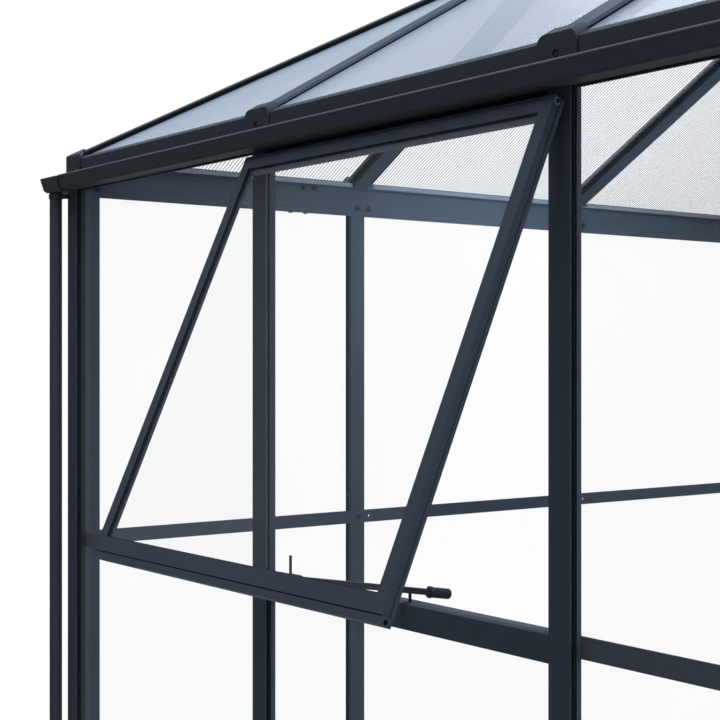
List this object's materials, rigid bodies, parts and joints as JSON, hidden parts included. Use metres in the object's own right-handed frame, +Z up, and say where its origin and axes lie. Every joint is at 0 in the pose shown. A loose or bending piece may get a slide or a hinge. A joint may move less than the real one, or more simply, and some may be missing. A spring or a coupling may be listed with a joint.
{
  "type": "glass greenhouse with hip roof",
  "caption": "Free-standing hip-roofed greenhouse with slim dark metal frame, clear wall panes, twin-wall roof sheets, gutters and open top-hung windows.",
  "frame": {"origin": "middle of the plan, on the ground under the base rails", "axes": "+X along the long front wall towards the door end, +Y from the front wall to the back wall, +Z up"},
  "size_m": [3.8306, 3.6264, 2.7526],
  "materials": {
    "frame_paint": "satin blue-grey powder coat",
    "gutter_paint": "satin dark grey powder coat",
    "dark_plastic": "fine moulded grain",
    "pane_glass": "clear, polished",
    "roof_sheet": "translucent ribbed twin-wall sheet",
    "hardware": "fine moulded grain"
  },
  "bodies": {
    "root": {"base_rails": "frame_paint", "corner_posts": "frame_paint", "front_studs": "frame_paint", "right_studs": "frame_paint", "back_studs": "frame_paint", "left_studs": "frame_paint", "wall_braces": "frame_paint", "front_eave_beam": "frame_paint", "right_eave_beam": "frame_paint", "back_eave_beam": "frame_paint", "left_eave_beam": "frame_paint", "front_rafters": "frame_paint", "right_rafters": "frame_paint", "back_rafters": "frame_paint", "left_rafters": "frame_paint", "hip_rafters": "frame_paint", "ridge_beam": "frame_paint", "window_sills": "frame_paint", "window_top_rails": "frame_paint", "window_bottom_rails": "frame_paint", "window_stiles": "frame_paint", "door_threshold": "frame_paint", "door_stiles": "frame_paint", "door_rails": "frame_paint", "front_gutter": "gutter_paint", "right_gutter": "gutter_paint", "back_gutter": "gutter_paint", "left_gutter": "gutter_paint", "gutter_corners": "dark_plastic", "downpipes": "dark_plastic", "rafter_end_caps": "dark_plastic", "hip_end_caps": "dark_plastic", "front_panes": "pane_glass", "right_panes": "pane_glass", "back_panes": "pane_glass", "left_panes": "pane_glass", "window_panes": "pane_glass", "door_panes": "pane_glass", "front_roof_sheets": "roof_sheet", "right_roof_sheets": "roof_sheet", "back_roof_sheets": "roof_sheet", "left_roof_sheets": "roof_sheet", "stay_bars": "hardware", "stay_pegs": "hardware", "door_handles": "hardware", "door_hinges": "hardware"}
  },
  "joints": []
}
